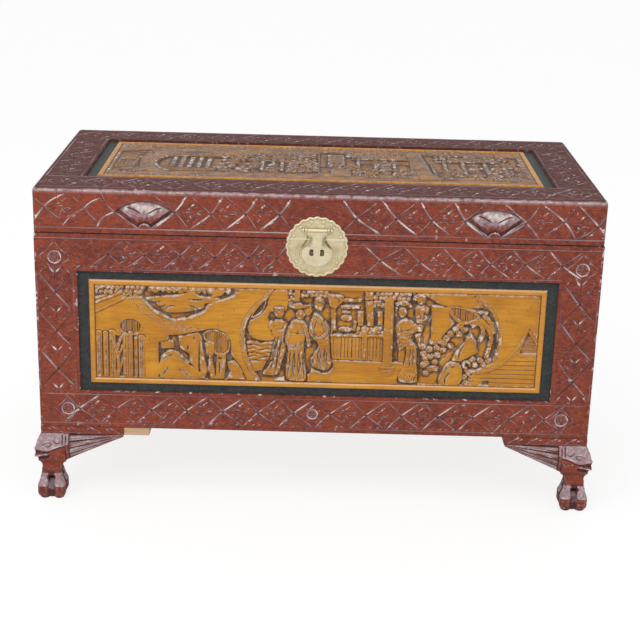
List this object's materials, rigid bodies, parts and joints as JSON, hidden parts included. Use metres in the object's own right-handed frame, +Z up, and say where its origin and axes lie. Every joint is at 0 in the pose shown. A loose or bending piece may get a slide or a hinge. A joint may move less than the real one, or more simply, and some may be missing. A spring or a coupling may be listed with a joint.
{
  "type": "hope chest",
  "caption": "Carved camphor-wood chest with a hinged lid, a round brass hasp lock and claw-and-ball feet with fluted wings.",
  "frame": {"origin": "on the floor, under the middle of the chest", "axes": "+X along the front to the right, +Y from the front to the back, +Z up"},
  "size_m": [1.052, 0.542, 0.608],
  "materials": {
    "red_lacquer": "red-brown lacquer over wood, cut with lattice lines",
    "black_lacquer": "black lacquer, satin",
    "camphor_wood": "varnished camphor wood, carved",
    "bare_wood": "bare wood",
    "brass": "aged brass, worn pale"
  },
  "bodies": {
    "carcass": {"front_top_rail": "red_lacquer", "front_bottom_rail": "red_lacquer", "front_left_stile": "red_lacquer", "front_right_stile": "red_lacquer", "front_band": "black_lacquer", "front_bead": "camphor_wood", "front_panel": "camphor_wood", "left_top_rail": "red_lacquer", "left_bottom_rail": "red_lacquer", "left_front_stile": "red_lacquer", "left_rear_stile": "red_lacquer", "left_band": "black_lacquer", "left_bead": "camphor_wood", "left_panel": "camphor_wood", "right_top_rail": "red_lacquer", "right_bottom_rail": "red_lacquer", "right_front_stile": "red_lacquer", "right_rear_stile": "red_lacquer", "right_band": "black_lacquer", "right_bead": "camphor_wood", "right_panel": "camphor_wood", "back_lower_board": "red_lacquer", "back_upper_board": "red_lacquer", "bottom_board_1": "bare_wood", "bottom_board_2": "bare_wood", "front_left_leg": "red_lacquer", "front_left_foot_plate": "red_lacquer", "front_left_wings": "red_lacquer", "front_right_leg": "red_lacquer", "front_right_foot_plate": "red_lacquer", "front_right_wings": "red_lacquer", "rear_left_leg": "red_lacquer", "rear_left_foot_plate": "red_lacquer", "rear_left_wings": "red_lacquer", "rear_right_leg": "red_lacquer", "rear_right_foot_plate": "red_lacquer", "rear_right_wings": "red_lacquer", "front_left_glue_block": "bare_wood", "lower_lock_plate": "brass", "hinge_body_leaves": "brass", "hinge_pins": "brass", "stay_stud": "brass"},
    "lid": {"lid_front_rim": "red_lacquer", "lid_back_rim": "red_lacquer", "lid_left_rim": "red_lacquer", "lid_right_rim": "red_lacquer", "lid_top_front_rail": "red_lacquer", "lid_top_back_rail": "red_lacquer", "lid_top_left_stile": "red_lacquer", "lid_top_right_stile": "red_lacquer", "lid_top_band": "black_lacquer", "lid_top_bead": "camphor_wood", "lid_top_panel": "camphor_wood", "upper_lock_plate": "brass", "hasp_ears": "brass", "hasp_pin": "brass", "hinge_lid_leaves": "brass", "stay_bracket": "brass"},
    "hasp": {"hasp_tongue": "brass"},
    "stay_arm": {"stay_arm": "brass"}
  },
  "joints": [
    {"name": "lid_hinge", "type": "hinge", "parent": "carcass", "child": "lid", "pos_m": [0, 0.2642, 0.52425], "axis": [-1, 0, 0], "range_deg": [0, 95]},
    {"name": "hasp_swing", "type": "hinge", "parent": "lid", "child": "hasp", "pos_m": [-0.004, -0.2655, 0.542], "axis": [-1, 0, 0], "range_deg": [0, 170]},
    {"name": "stay_swing", "type": "hinge", "parent": "lid", "child": "stay_arm", "pos_m": [0.48675, 0.09721, 0.5561], "axis": [-1, 0, 0], "range_deg": [-47.5, 0]}
  ],
  "couplings": [
    {"joint": "stay_swing", "follows": "lid_hinge", "ratio": -0.5}
  ]
}
